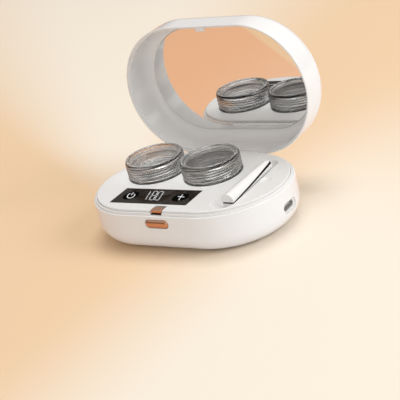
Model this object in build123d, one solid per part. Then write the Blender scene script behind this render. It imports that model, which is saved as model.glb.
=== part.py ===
from build123d import *
import math
import os

# Contact lens cleaner with a mirror lid, two screw-capped lens jars, a display and a pair of tweezers.
# Millimetres, +X along the long side, +Y towards the hinge, +Z up, origin at the centre of the foot pad's
# underside. The lid is built shut and then swung open about its hinge, which is how the part rests.

os.makedirs("parts", exist_ok=True)

# --- casing -------------------------------------------------------------------------------------------
body_length = 108.0
body_width = 69.5
rim_height = 21.0
base_wall = 2.0
base_floor = 2.0
base_round = 10.0
rim_round = 0.35
lid_height = 21.0
lid_wall = 1.6
lid_round = 9.0
parting_gap = 0.15

# --- foot pad -----------------------------------------------------------------------------------------
foot_inset = 11.5
foot_thickness = 1.4
foot_proud = 0.6
foot_round = 0.3
foot_gap = 0.1

# --- stepped rim and deck -----------------------------------------------------------------------------
ledge_width = 1.0
lip_width = 0.85
lip_height = 1.2
seat_width = 1.5
seat_depth = 2.5
deck_gap = 0.15
deck_rise = 2.3
deck_thickness = 2.0
deck_edge_round = 0.4

# --- lid furniture ------------------------------------------------------------------------------------
rabbet_wall = 0.8
rabbet_depth = 1.5
roof_depth = 17.6
roof_round = 5.5
mirror_inset = 6.4
mirror_thickness = 1.0
mirror_pad_inset = 12.0
mirror_pad_thickness = 0.3
mirror_clearance = 0.15
ring_inset = 9.2
ring_width = 3.2
ring_thickness = 0.8
tab_length = 33.0
tab_top_length = 24.0
tab_width = 5.0
tab_round = 1.5
inlay_gap = 0.05

# --- hinge --------------------------------------------------------------------------------------------
open_angle = 90.6
hinge_offset = 0.55
hinge_drop = 0.6
barrel_radius = 2.2
barrel_clearance = 0.25
knuckle_half_length = 12.0
lid_knuckle_length = 6.0
knuckle_gap = 0.15
pin_radius = 0.8
pin_clearance = 0.05
gusset_height = 4.5
gusset_reach = 1.6
gusset_foot = 0.6
gusset_neck = 1.3

# --- latch --------------------------------------------------------------------------------------------
button_length = 13.3
button_height = 4.3
button_drop = 4.0
button_proud = 0.9
button_edge_round = 0.7
button_clearance = 0.15
button_travel = 1.2
flange_overlap = 1.4
flange_thickness = 1.0
flange_gap = 0.05
hook_width = 6.2
hook_depth = 3.6
hook_thickness = 1.2
hook_arm_thickness = 1.3
hook_slot_gap = 0.35
hook_nose_gap = 0.1
hook_proud = 0.1
hook_chamfer = 0.25
tooth_width = 5.0
tooth_height = 0.75
tooth_reach = 1.05
tooth_gap = 0.25
tooth_root = 0.3
spring_length = 14.0
spring_height = 3.0
spring_strip = 0.3
spring_bow = 3.4
spring_gap = 0.02
spring_rest_wall = 1.4
spring_rest_margin = 1.0

# --- display ------------------------------------------------------------------------------------------
display_x = -9.8
display_y = -18.3
display_length = 45.9
display_width = 15.8
display_thickness = 1.0
display_gap = 0.05
key_spacing = 30.0
key_radius = 4.3
key_thickness = 0.4
digits_x = -11.6
digits_y = -17.4
digit_height = 9.6
digit_width = 2.9
digit_pitch = 3.4
segment_width = 0.45
segment_depth = 0.3
segment_break = 0.08
digit_lean = -0.3
module_length = 38.0
module_width = 10.0
module_gap = 0.1
standoff_height = 1.0
standoff_width = 2.0
standoff_length = 10.0
standoff_gap = 0.5
board_thickness = 1.2

# --- jars ---------------------------------------------------------------------------------------------
jars_x = -8.8
jars_y = 8.2
jar_spacing = 33.9
cap_radius = 15.2
cap_height = 8.4
cap_wall = 1.3
cap_rib_count = 40
cap_rib_radius = 0.35
cap_recess_radius = 12.7
cap_recess_depth = 1.4
cap_recess_chamfer = 0.4
cap_plate = 1.2
cap_rim_round = 0.9
flange_radius = 15.3
jar_flange_thickness = 1.3
cap_flange_gap = 0.2
jar_bore = 11.0
jar_wall = 1.0
jar_floor = 1.2
jar_corner = 3.0
jar_foot_chamfer = 1.0
thread_depth = 0.7
thread_width = 0.8
thread_pitch = 1.9
thread_start = 1.0
thread_end = 0.5
thread_root = 0.2
seal_bore = 9.5
seal_overhang = 0.3
seal_thickness = 0.7
seal_gap = 0.05
well_clearance = 0.6
well_wall = 1.2
well_edge_round = 0.3
well_depth = 9.3
jar_seat_gap = 0.1
gasket_thickness = 0.8
plate_thickness = 0.6
transducer_radius = 9.0
transducer_thickness = 1.2

# --- tweezers -----------------------------------------------------------------------------------------
tool_x = 34.2
tool_near_y = -21.5
tool_length = 41.0
tool_near_radius = 3.45
tool_far_radius = 2.8
tool_axis_rise = 0.6
tool_edge_round = 0.3
tool_slit = 0.7
tool_split_near = -0.8
tool_split_far = 1.65
tool_root = 35.0
tool_root_gap = 0.15
tool_nose_step = 0.4
tool_pivot_radius = 1.2
tool_pivot_gap = 0.1
tool_pivot_drop = 0.4
tool_pivot_inset = 0.6
trough_half_width = 4.3
trough_clearance = 0.2
trough_wall = 1.2
trough_far_gap = 5.0
scoop_radius = 9.0
scoop_rise = 6.0
scoop_shift_x = -2.6
dimple_radius = 6.0
dimple_rise = 5.1
dimple_x = 41.4
dimple_y = 2.7

# --- electronics --------------------------------------------------------------------------------------
port_drop = 9.5
port_recess_length = 11.4
port_recess_height = 5.4
port_recess_depth = 1.2
port_boss_margin = 1.6
port_boss_depth = 2.2
socket_length = 7.3
socket_width = 8.94
socket_height = 3.26
socket_wall = 0.3
socket_clearance = 0.15
tongue_width = 6.7
tongue_height = 0.7
tongue_setback = 1.2
socket_setback = 0.1
main_board_length = 26.0
main_board_width = 28.0
main_board_inset = 6.2
board_screw_inset = 2.6
board_screw_end_inset = 6.6
board_screw_radius = 0.8
board_screw_head = 1.5
board_screw_head_height = 0.9
board_screw_depth = 4.0
board_post_radius = 2.0
battery_length = 44.0
battery_width = 27.0
battery_height = 6.0
battery_x = -12.0
battery_y = 3.5
battery_round = 1.5

# --- deck screws --------------------------------------------------------------------------------------
screw_places = [(-38.8, -7.0), (-8.8, 20.8), (18.5, -20.5), (22.5, 20.5)]
screw_radius = 1.0
screw_head_radius = 2.0
screw_head_height = 1.4
screw_head_clearance = 0.2
screw_hole_clearance = 0.15
screw_thread_clearance = 0.02
screw_bite = 4.0
screw_seat_gap = 0.1
screw_tip_gap = 0.5
driver_radius = 0.6
driver_depth = 0.8
boss_radius = 3.0
deck_post_radius = 2.6
boss_top = 12.0

# --- places worked out from the sizes above ------------------------------------------------------------
half_length = body_length / 2
half_width = body_width / 2
base_bottom = foot_proud
floor_top = base_bottom + base_floor
foot_seat = foot_thickness
lip_inner = ledge_width + lip_width
deck_inset = lip_inner + deck_gap
deck_top = rim_height + deck_rise
deck_seat = deck_top - deck_thickness
seat_inset = lip_inner + seat_width
front_y = -half_width
lid_rim = rim_height + parting_gap
lid_top = rim_height + lid_height
roof_z = rim_height + roof_depth
mirror_face = roof_z
mirror_back = mirror_face + mirror_thickness
mirror_pocket_top = mirror_back + mirror_pad_thickness
hinge_y = half_width + hinge_offset
hinge_z = rim_height - hinge_drop
hinge_axis = Axis((0, hinge_y, hinge_z), (1, 0, 0))
lid_knuckle_start = knuckle_half_length + knuckle_gap
lid_knuckle_end = lid_knuckle_start + lid_knuckle_length
button_z = rim_height - button_drop
button_flange_low = button_z - button_height / 2 - flange_overlap
button_flange_high = button_z + button_height / 2 + flange_overlap
spring_low = button_flange_low
spring_high = spring_low + spring_height
spring_near = front_y + base_wall + flange_gap + flange_thickness
hook_front = front_y + deck_inset - hook_nose_gap
jar_places = {"left": jars_x - jar_spacing / 2, "right": jars_x + jar_spacing / 2}
neck_radius = jar_bore + jar_wall
cap_inner_radius = cap_radius - cap_rib_radius - cap_wall
well_radius = neck_radius + well_clearance
well_outer = well_radius + well_wall
well_bottom = deck_top - well_depth
plate_top = well_bottom - gasket_thickness
plate_bottom = plate_top - plate_thickness
cup_bottom = plate_top + jar_seat_gap
flange_bottom = deck_top + jar_seat_gap
flange_top = flange_bottom + jar_flange_thickness
cap_bottom = flange_top + cap_flange_gap
cap_top = cap_bottom + cap_height
cap_plate_bottom = cap_top - cap_recess_depth - cap_plate
seal_top = cap_plate_bottom - seal_gap
neck_top = seal_top - seal_thickness - seal_gap
tool_z = deck_top + tool_axis_rise
tool_far_y = tool_near_y + tool_length
tool_pivot_y = tool_near_y + tool_root + tool_pivot_inset
tool_pivot_z = tool_z - tool_pivot_drop
trough_bottom = tool_z - tool_near_radius - trough_clearance
port_z = rim_height - port_drop
socket_front = half_length - port_recess_depth - socket_setback
main_board_top = port_z - socket_height / 2
main_board_bottom = main_board_top - board_thickness
main_board_end = half_length - main_board_inset
display_board_top = deck_seat - standoff_height
display_bottom = deck_top - display_thickness


# --- helpers ------------------------------------------------------------------------------------------
def stadium(inset, low, high):
    """The casing's plan outline, moved in by inset, as a slab from low to high."""
    outline = SlotOverall(body_length - 2 * inset, body_width - 2 * inset)
    return Pos(0, 0, low) * extrude(outline, high - low)


def block(x_low, x_high, y_low, y_high, z_low, z_high):
    centre = Pos((x_low + x_high) / 2, (y_low + y_high) / 2, (z_low + z_high) / 2)
    return centre * Box(x_high - x_low, y_high - y_low, z_high - z_low)


def post(x, y, radius, low, high):
    return Pos(x, y, (low + high) / 2) * Cylinder(radius, high - low)


def rod_x(radius, x_low, x_high, y, z):
    """A round bar along X."""
    return Pos((x_low + x_high) / 2, y, z) * Rot(0, 90, 0) * Cylinder(radius, x_high - x_low)


def slot_y(length, height, y_low, y_high, z):
    """A bar with a slot-shaped section, centred on X = 0 and running along Y."""
    section = Plane((0, y_low, z), x_dir=(1, 0, 0), z_dir=(0, 1, 0)) * SlotOverall(length, height)
    return extrude(section, y_high - y_low)


def slot_x(length, height, x_low, x_high, z):
    """A bar with a slot-shaped section, centred on Y = 0 and running along X."""
    section = Plane((x_low, 0, z), x_dir=(0, 1, 0), z_dir=(1, 0, 0)) * SlotOverall(length, height)
    return extrude(section, x_high - x_low)


def turned(points, x, y):
    """A solid turned about the vertical axis through x, y from a closed outline of (radius, height)."""
    outline = Plane.XZ * make_face(Polyline(*points, close=True))
    return Pos(x, y, 0) * revolve(outline, Axis.Z)


def bottom_edges(shape):
    return shape.edges().group_by(Axis.Z)[0]


def top_edges(shape):
    return shape.edges().group_by(Axis.Z)[-1]


def save(name, *solids):
    shape = solids[0] if len(solids) == 1 else Compound(children=list(solids))
    export_step(shape, "parts/" + name + ".step")


# --- base ---------------------------------------------------------------------------------------------
def base_shell():
    shell = stadium(0, base_bottom, rim_height)
    shell = fillet(bottom_edges(shell), base_round)
    shell = fillet(top_edges(shell), rim_round)
    shell += stadium(ledge_width, rim_height - 1, rim_height + lip_height)
    cavity = stadium(base_wall, floor_top, deck_seat - seat_depth)
    shell -= fillet(bottom_edges(cavity), base_round - base_wall)
    shell -= stadium(seat_inset, deck_seat - seat_depth - 1, deck_seat + 1)
    shell -= stadium(lip_inner, deck_seat, deck_top)
    shell -= stadium(foot_inset, 0, foot_seat)
    shell += base_bosses()
    shell -= screw_holes()
    shell = add_hinge(shell)
    shell = add_latch_seat(shell)
    return add_port(shell)


def base_bosses():
    posts = [post(x, y, boss_radius, foot_seat, boss_top) for x, y in screw_places]
    for x, y in board_screw_places():
        posts.append(post(x, y, board_post_radius, floor_top - 1, main_board_bottom))
    return posts


def screw_holes():
    holes = []
    for x, y in screw_places:
        holes.append(post(x, y, screw_radius + screw_hole_clearance, foot_seat, boss_top + 1))
        holes.append(post(x, y, screw_head_radius + screw_head_clearance, foot_seat, foot_seat + screw_head_height))
    for x, y in board_screw_places():
        low = main_board_top - board_screw_depth
        hole_radius = board_screw_radius + screw_thread_clearance
        holes.append(post(x, y, hole_radius, low - screw_tip_gap, main_board_bottom + 1))
    return holes


def add_hinge(shell):
    """Puts the middle knuckle on the back wall and clears the lid's two outer knuckles."""
    clear = barrel_radius + barrel_clearance
    shell -= block(-lid_knuckle_end - knuckle_gap, lid_knuckle_end + knuckle_gap,
                   half_width - lip_inner - 0.01, half_width + 1, rim_height, deck_top)
    for side in (-1, 1):
        ends = sorted((side * knuckle_half_length, side * (lid_knuckle_end + knuckle_gap)))
        shell -= rod_x(clear, ends[0], ends[1], hinge_y, hinge_z)
    shell += rod_x(barrel_radius, -knuckle_half_length, knuckle_half_length, hinge_y, hinge_z)
    root = block(-knuckle_half_length, knuckle_half_length, half_width - base_wall, hinge_y,
                 hinge_z - barrel_radius, hinge_z)
    shell += root
    return shell - rod_x(pin_radius, -knuckle_half_length, knuckle_half_length, hinge_y, hinge_z)


def add_latch_seat(shell):
    """Opens the front wall for the button and the hook, and adds the wall that the spring bears on."""
    hole = slot_y(button_length + 2 * button_clearance, button_height + 2 * button_clearance,
                  front_y - 1, front_y + base_wall + 1, button_z)
    flange_half = button_length / 2 + flange_overlap + button_clearance
    flange_low = front_y + base_wall
    shell -= hole
    shell -= block(-flange_half, flange_half, flange_low, front_y + seat_inset + 1,
                   button_z, deck_seat + 1)
    notch = hook_width / 2 + hook_slot_gap
    shell -= block(-notch, notch, front_y + ledge_width - 0.01, flange_low + 1,
                   rim_height + 0.01, deck_top)
    half = spring_length / 2 + spring_rest_margin
    rest = spring_near + spring_bow
    return shell + block(-half, half, rest, rest + spring_rest_wall, floor_top - 0.5, spring_high)


def add_port(shell):
    """Cuts the charging port into the right-hand end, with a boss behind it."""
    inner = half_length - base_wall
    boss_length = port_recess_length + 2 * port_boss_margin
    boss_height = port_recess_height + 2 * port_boss_margin
    boss = slot_x(boss_length, boss_height, inner - port_boss_depth, half_length - 1, port_z)
    casing = stadium(0.5, floor_top, rim_height - 1)
    shell += boss & casing
    shell -= slot_x(port_recess_length, port_recess_height,
                    half_length - port_recess_depth, half_length + 1, port_z)
    hole_width = socket_width + 2 * socket_clearance
    hole_height = socket_height + 2 * socket_clearance
    return shell - slot_x(hole_width, hole_height, inner - port_boss_depth - 1, half_length, port_z)


def foot_pad():
    pad = stadium(foot_inset + foot_gap, 0, foot_thickness)
    return fillet(bottom_edges(pad), foot_round)


def deck_screws():
    screws = []
    for x, y in screw_places:
        low = foot_seat + screw_seat_gap
        head = post(x, y, screw_head_radius, low, foot_seat + screw_head_height)
        shank = post(x, y, screw_radius, low, boss_top + screw_bite)
        socket = post(x, y, driver_radius, low, low + driver_depth)
        screws.append(head + shank - socket)
    return screws


# --- deck ---------------------------------------------------------------------------------------------
def deck_panel():
    deck = stadium(deck_inset, deck_seat, deck_top)
    deck = fillet(top_edges(deck), deck_edge_round)
    for x in jar_places.values():
        deck += post(x, jars_y, well_outer, well_bottom, deck_seat + 0.5)
    deck += trough_tub()
    for x, y in screw_places:
        deck += post(x, y, deck_post_radius, boss_top, deck_seat + 0.5)
    deck += display_standoffs()
    for x in jar_places.values():
        deck -= post(x, jars_y, well_radius, well_bottom - 1, deck_top + 1)
    deck = fillet(well_edges(deck), well_edge_round)
    for x, y in screw_places:
        hole_radius = screw_radius + screw_thread_clearance
        deck -= post(x, y, hole_radius, boss_top - 1, boss_top + screw_bite + screw_tip_gap)
    deck -= trough_space()
    deck -= display_pocket()
    hook_half = hook_width / 2 + hook_slot_gap
    hook_back = hook_front + hook_depth + button_travel + hook_slot_gap
    return deck - block(-hook_half, hook_half, front_y, hook_back, deck_seat - 1, deck_top + 1)


def well_edges(deck):
    """The two round edges where the wells open in the deck's top."""
    rings = deck.edges().filter_by(GeomType.CIRCLE).group_by(Axis.Z)[-1]
    return rings.filter_by(lambda ring: abs(ring.radius - well_radius) < 0.01)


def trough_tub():
    """The thick underside that holds the trough and its scoop."""
    half = trough_half_width + trough_wall
    low = trough_bottom - trough_wall
    near = tool_near_y - half
    far = tool_far_y + trough_far_gap + trough_wall
    tub = block(tool_x - half, tool_x + half, near + half, far - half, low, deck_seat + 0.5)
    tub += post(tool_x, far - half, half, low, deck_seat + 0.5)
    reach = math.sqrt(scoop_radius ** 2 - scoop_rise ** 2) + trough_wall
    tub += post(tool_x + scoop_shift_x, tool_near_y, reach, low, deck_seat + 0.5)
    return tub & stadium(seat_inset + deck_gap, low - 1, deck_top)


def trough_space():
    """The trough, round at its far end, with a round scoop for a fingertip at its near end."""
    axis_z = trough_bottom + trough_half_width
    far = tool_far_y + trough_far_gap - trough_half_width
    length = far - tool_near_y
    bar = Pos(tool_x, tool_near_y + length / 2, axis_z) * Rot(90, 0, 0) * Cylinder(trough_half_width, length)
    bar += Pos(tool_x, far, axis_z) * Sphere(trough_half_width)
    scoop = Pos(tool_x + scoop_shift_x, tool_near_y, deck_top + scoop_rise) * Sphere(scoop_radius)
    dimple = Pos(dimple_x, dimple_y, deck_top + dimple_rise) * Sphere(dimple_radius)
    return [bar, scoop, dimple]


def display_standoffs():
    bars = []
    for side in (-1, 1):
        x = display_x + side * (module_length / 2 + standoff_gap + standoff_width / 2)
        bars.append(block(x - standoff_width / 2, x + standoff_width / 2, display_y - standoff_length / 2,
                          display_y + standoff_length / 2, display_board_top, deck_seat + 0.5))
    return bars


def display_pocket():
    pocket = block(display_x - display_length / 2 - display_gap, display_x + display_length / 2 + display_gap,
                   display_y - display_width / 2 - display_gap, display_y + display_width / 2 + display_gap,
                   display_bottom, deck_top + 1)
    window = block(display_x - module_length / 2 - module_gap, display_x + module_length / 2 + module_gap,
                   display_y - module_width / 2 - module_gap, display_y + module_width / 2 + module_gap,
                   deck_seat - 1, deck_top)
    return [pocket, window]


# --- display ------------------------------------------------------------------------------------------
segment_sets = {"0": "abcdef", "1": "bc", "8": "abcdefg"}


def digit_segments(figure, x_middle):
    """The lit bars of one seven-segment figure, leaning a little, with small breaks between them."""
    half_w = (digit_width - segment_width) / 2
    half_h = (digit_height - segment_width) / 2
    bar = digit_width - 2 * segment_break - segment_width
    post_length = half_h - 2 * segment_break - segment_width / 2
    places = {
        "a": (0, half_h, bar, segment_width), "d": (0, -half_h, bar, segment_width),
        "g": (0, 0, bar, segment_width), "b": (half_w, half_h / 2, segment_width, post_length),
        "c": (half_w, -half_h / 2, segment_width, post_length),
        "e": (-half_w, -half_h / 2, segment_width, post_length),
        "f": (-half_w, half_h / 2, segment_width, post_length),
    }
    bars = []
    for name in segment_sets[figure]:
        x, y, across, along = places[name]
        centre = Pos(x_middle + x + digit_lean * y, digits_y + y, deck_top - segment_depth / 2)
        bars.append(centre * Box(across, along, segment_depth))
    return bars


def display_digits():
    bars = []
    for index, figure in enumerate("180"):
        bars += digit_segments(figure, digits_x + (index - 1) * digit_pitch)
    return bars


def touch_pad(side):
    return post(display_x + side * key_spacing / 2, display_y, key_radius, deck_top - key_thickness, deck_top)


def display_window():
    window = block(display_x - display_length / 2, display_x + display_length / 2,
                   display_y - display_width / 2, display_y + display_width / 2, display_bottom, deck_top)
    window -= [touch_pad(-1), touch_pad(1)]
    return window - display_digits()


def display_module():
    return block(display_x - module_length / 2, display_x + module_length / 2,
                 display_y - module_width / 2, display_y + module_width / 2,
                 display_board_top, display_bottom)


def display_board():
    return block(display_x - display_length / 2, display_x + display_length / 2,
                 display_y - display_width / 2, display_y + display_width / 2,
                 display_board_top - board_thickness, display_board_top)


# --- latch --------------------------------------------------------------------------------------------
def latch_button():
    face = front_y - button_proud
    inside = front_y + base_wall + flange_gap
    button = slot_y(button_length, button_height, face, inside + flange_thickness, button_z)
    button = fillet(button.edges().group_by(Axis.Y)[0], button_edge_round)
    half = button_length / 2 + flange_overlap
    return button + block(-half, half, inside, inside + flange_thickness, button_flange_low, button_flange_high)


def latch_hook():
    half = hook_width / 2
    top = deck_top + hook_proud
    hook = block(-half, half, spring_near, spring_near + hook_arm_thickness, button_z, top)
    hook += block(-half, half, hook_front, hook_front + hook_depth, top - hook_thickness, top)
    return chamfer(top_edges(hook).group_by(Axis.Y)[0], hook_chamfer)


def latch_spring():
    """A bowed steel strip between the button's flange and the wall behind it."""
    near = spring_near + spring_gap
    far = spring_near + spring_bow - spring_gap
    half = spring_length / 2
    bow = ThreePointArc((-half, far - spring_strip), (0, near), (half, far - spring_strip))
    back_bow = ThreePointArc((half, far), (0, near + spring_strip), (-half, far))
    ends = [Line(bow @ 1, back_bow @ 0), Line(back_bow @ 1, bow @ 0)]
    strip = make_face([bow, ends[0], back_bow, ends[1]])
    return Pos(0, 0, spring_low) * extrude(strip, spring_height)


# --- lid ----------------------------------------------------------------------------------------------
def tab_outline(grow):
    """The ring's finger tab on the front, grown all round by grow."""
    inner = front_y + ring_inset + ring_width
    far = inner + tab_width + grow
    low = inner - ring_width / 2
    half_low = tab_length / 2 + grow
    half_high = tab_top_length / 2 + grow
    corners = [(-half_low, low), (half_low, low), (half_low, inner), (half_high, far),
               (-half_high, far), (-half_low, inner)]
    face = make_face(Polyline(*corners, close=True))
    high = face.vertices().group_by(Axis.Y)[-1]
    return fillet(high, tab_round)


def ring_tab(grow, low, high):
    return Pos(0, 0, low) * extrude(tab_outline(grow), high - low)


def lid_shell():
    shell = stadium(0, lid_rim, lid_top)
    shell = fillet(top_edges(shell), lid_round)
    shell = fillet(bottom_edges(shell), rim_round)
    cavity = stadium(lid_wall, lid_rim - 1, roof_z)
    shell -= fillet(top_edges(cavity), roof_round)
    shell -= stadium(rabbet_wall, lid_rim - 1, rim_height + rabbet_depth)
    shell -= stadium(mirror_inset - mirror_clearance, roof_z - 1, mirror_pocket_top)
    shell -= stadium(ring_inset - inlay_gap, lid_top - ring_thickness, lid_top + 1)
    shell = add_lid_knuckles(shell)
    return shell + block(-tooth_width / 2, tooth_width / 2, front_y + rabbet_wall - tooth_root,
                         hook_front + tooth_reach, rim_height + tooth_gap, rim_height + tooth_gap + tooth_height)


def add_lid_knuckles(shell):
    """Clears the base's middle knuckle and adds the lid's two knuckles with their gussets."""
    clear = barrel_radius + barrel_clearance
    shell -= rod_x(clear, -lid_knuckle_start, lid_knuckle_start, hinge_y, hinge_z)
    for side in (-1, 1):
        ends = sorted((side * lid_knuckle_start, side * lid_knuckle_end))
        shell += rod_x(barrel_radius, ends[0], ends[1], hinge_y, hinge_z)
        shell += gusset(ends[0], ends[1])
        shell -= rod_x(pin_radius + pin_clearance, ends[0] - 1, ends[1] + 1, hinge_y, hinge_z)
    return shell


def gusset(x_low, x_high):
    """A wedge that carries a lid knuckle on the lid's back wall."""
    wall = half_width - lid_wall / 2
    corners = [(wall, lid_rim + gusset_foot), (wall, lid_rim + gusset_height), (half_width, lid_rim + gusset_height),
               (half_width + gusset_reach, hinge_z + gusset_neck), (hinge_y, hinge_z + gusset_neck)]
    section = Plane((x_low, 0, 0), x_dir=(0, 1, 0), z_dir=(1, 0, 0)) * make_face(Polyline(*corners, close=True))
    return extrude(section, x_high - x_low)


def lid_ring():
    low = lid_top - ring_thickness
    ring = stadium(ring_inset, low, lid_top) - stadium(ring_inset + ring_width, low, lid_top)
    return ring + ring_tab(0, low, lid_top)


def lid_top_panel():
    low = lid_top - ring_thickness
    panel = stadium(ring_inset + ring_width + inlay_gap, low, lid_top)
    return panel - ring_tab(inlay_gap, low, lid_top)


def mirror():
    return stadium(mirror_inset, mirror_face, mirror_back)


def mirror_adhesive():
    return stadium(mirror_pad_inset, mirror_back, mirror_pocket_top)


def hinge_pin():
    return rod_x(pin_radius, -lid_knuckle_end, lid_knuckle_end, hinge_y, hinge_z)


# --- jars ---------------------------------------------------------------------------------------------
def jar_cup(x):
    inside_floor = cup_bottom + jar_floor
    cup = turned([
        (0, cup_bottom), (neck_radius - jar_foot_chamfer, cup_bottom), (neck_radius, cup_bottom + jar_foot_chamfer),
        (neck_radius, flange_bottom), (flange_radius, flange_bottom), (flange_radius, flange_top),
        (neck_radius, flange_top), (neck_radius, neck_top), (jar_bore, neck_top),
        (jar_bore, inside_floor + jar_corner), (jar_bore - jar_corner, inside_floor), (0, inside_floor),
    ], x, jars_y)
    height = cap_bottom + thread_start
    while height + thread_width < neck_top - thread_end:
        root = neck_radius - thread_root
        top = height + thread_width
        cup += turned([(root, height), (neck_radius, height), (neck_radius + thread_depth, height + thread_width / 2),
                       (neck_radius, top), (root, top)], x, jars_y)
        height += thread_pitch
    return cup


def jar_seal(x):
    disc = post(x, jars_y, neck_radius + seal_overhang, neck_top + seal_gap, seal_top)
    return disc - post(x, jars_y, seal_bore, neck_top, seal_top + 1)


def jar_cap(x):
    outer = cap_radius - cap_rib_radius
    cap = turned([
        (cap_inner_radius, cap_bottom), (outer, cap_bottom), (outer, cap_top - cap_rim_round),
        (outer - cap_rim_round, cap_top), (cap_recess_radius + cap_recess_chamfer, cap_top),
        (cap_recess_radius, cap_top - cap_recess_chamfer), (cap_recess_radius, cap_top - cap_recess_depth),
        (0, cap_top - cap_recess_depth), (0, cap_plate_bottom), (cap_inner_radius, cap_plate_bottom),
    ], x, jars_y)
    ribs = []
    for index in range(cap_rib_count):
        angle = 2 * math.pi * index / cap_rib_count
        rib_x = x + outer * math.cos(angle)
        rib_y = jars_y + outer * math.sin(angle)
        ribs.append(post(rib_x, rib_y, cap_rib_radius, cap_bottom, cap_top - cap_rim_round))
    return cap + ribs


def plate_gasket(x):
    return post(x, jars_y, well_outer, plate_top, well_bottom) - post(x, jars_y, well_radius, plate_top, well_bottom)


def vibration_plate(x):
    return post(x, jars_y, well_outer, plate_bottom, plate_top)


def transducer(x):
    return post(x, jars_y, transducer_radius, plate_bottom - transducer_thickness, plate_bottom)


# --- tweezers -----------------------------------------------------------------------------------------
def stick():
    """The whole closed stick: a flat near end, a gentle taper and a round far end."""
    taper_length = tool_length - tool_far_radius
    taper = fillet(bottom_edges(Cone(tool_near_radius, tool_far_radius, taper_length)), tool_edge_round)
    upright = taper + Pos(0, 0, taper_length / 2) * Sphere(tool_far_radius)
    lying = Rot(-90, 0, 0) * Rot(0, 0, -90)
    return Pos(tool_x, tool_near_y + taper_length / 2, tool_z) * lying * upright


def below_split(drop, y_from, y_to):
    """Everything under the slanting split plane, lowered by drop, between two distances along the stick."""
    slope = (tool_split_far - tool_split_near) / tool_root

    def split(distance):
        return tool_z + tool_split_near + slope * distance - drop

    deep = tool_z - 2 * tool_near_radius
    corners = [(tool_near_y + y_from, deep), (tool_near_y + y_to, deep),
               (tool_near_y + y_to, split(y_to)), (tool_near_y + y_from, split(y_from))]
    half = 2 * tool_near_radius
    section = Plane((tool_x - half, 0, 0), x_dir=(0, 1, 0), z_dir=(1, 0, 0)) * make_face(Polyline(*corners, close=True))
    return extrude(section, 2 * half)


def pivot_bar(radius):
    half = 2 * tool_near_radius
    return rod_x(radius, tool_x - half, tool_x + half, tool_pivot_y, tool_pivot_z)


def tweezers_body():
    body = stick() - below_split(0, -1, tool_root)
    return body - pivot_bar(tool_pivot_radius + tool_pivot_gap)


def tweezers_arm():
    arm = stick() & below_split(tool_slit, tool_nose_step, tool_root - tool_root_gap)
    return arm + (pivot_bar(tool_pivot_radius) & stick())


# --- electronics --------------------------------------------------------------------------------------
def board_screw_places():
    near = main_board_end - main_board_length + board_screw_inset
    far = main_board_end - board_screw_end_inset
    side = main_board_width / 2 - board_screw_inset
    return [(x, y) for x in (near, far) for y in (-side, side)]


def main_board():
    board = block(main_board_end - main_board_length, main_board_end, -main_board_width / 2,
                  main_board_width / 2, main_board_bottom, main_board_top)
    for x, y in board_screw_places():
        board -= post(x, y, board_screw_radius + screw_hole_clearance, main_board_bottom, main_board_top)
    return board


def board_screws():
    screws = []
    for x, y in board_screw_places():
        head = post(x, y, board_screw_head, main_board_top, main_board_top + board_screw_head_height)
        shank = post(x, y, board_screw_radius, main_board_top - board_screw_depth, main_board_top)
        screws.append(head + shank)
    return screws


def usb_socket():
    back = socket_front - socket_length
    shell = slot_x(socket_width, socket_height, back, socket_front, port_z)
    shell -= slot_x(socket_width - 2 * socket_wall, socket_height - 2 * socket_wall,
                    back + socket_wall, socket_front + 1, port_z)
    tongue = block(back, socket_front - tongue_setback, -tongue_width / 2, tongue_width / 2,
                   port_z - tongue_height / 2, port_z + tongue_height / 2)
    return shell + tongue


def battery():
    cell = block(battery_x - battery_length / 2, battery_x + battery_length / 2,
                 battery_y - battery_width / 2, battery_y + battery_width / 2,
                 floor_top, floor_top + battery_height)
    return fillet(cell.edges().filter_by(Axis.Z), battery_round)


def open_lid(shape):
    return shape.rotate(hinge_axis, -open_angle)


save("base_shell", base_shell())
save("foot_pad", foot_pad())
save("deck_screws", *deck_screws())
save("deck_panel", deck_panel())
save("display_window", display_window())
save("power_touch_pad", touch_pad(-1))
save("timer_touch_pad", touch_pad(1))
save("display_digits", *display_digits())
save("display_module", display_module())
save("display_board", display_board())
save("latch_button", latch_button())
save("latch_hook", latch_hook())
save("latch_spring", latch_spring())
save("hinge_pin", hinge_pin())
save("main_board", main_board())
save("board_screws", *board_screws())
save("usb_socket", usb_socket())
save("battery", battery())
save("lid_shell", open_lid(lid_shell()))
save("lid_ring", open_lid(lid_ring()))
save("lid_top_panel", open_lid(lid_top_panel()))
save("mirror", open_lid(mirror()))
save("mirror_adhesive", open_lid(mirror_adhesive()))
for side, x in jar_places.items():
    save("jar_cup_" + side, jar_cup(x))
    save("jar_seal_" + side, jar_seal(x))
    save("jar_cap_" + side, jar_cap(x))
    save("plate_gasket_" + side, plate_gasket(x))
    save("vibration_plate_" + side, vibration_plate(x))
    save("transducer_" + side, transducer(x))
save("tweezers_body", tweezers_body())
save("tweezers_arm", tweezers_arm())
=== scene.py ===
# %% [markdown]
# # Contact lens cleaner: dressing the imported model
# The cleaner is an oval case with a mirror lid, two screw-capped lens jars, a display, a latch and
# tweezers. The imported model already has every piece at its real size. Here it gets its finishes, and
# the pieces that catch the eye, such as the clear jars, are modelled again with more detail.

import math

import bmesh
import bpy
from mathutils import Matrix, Vector


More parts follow.
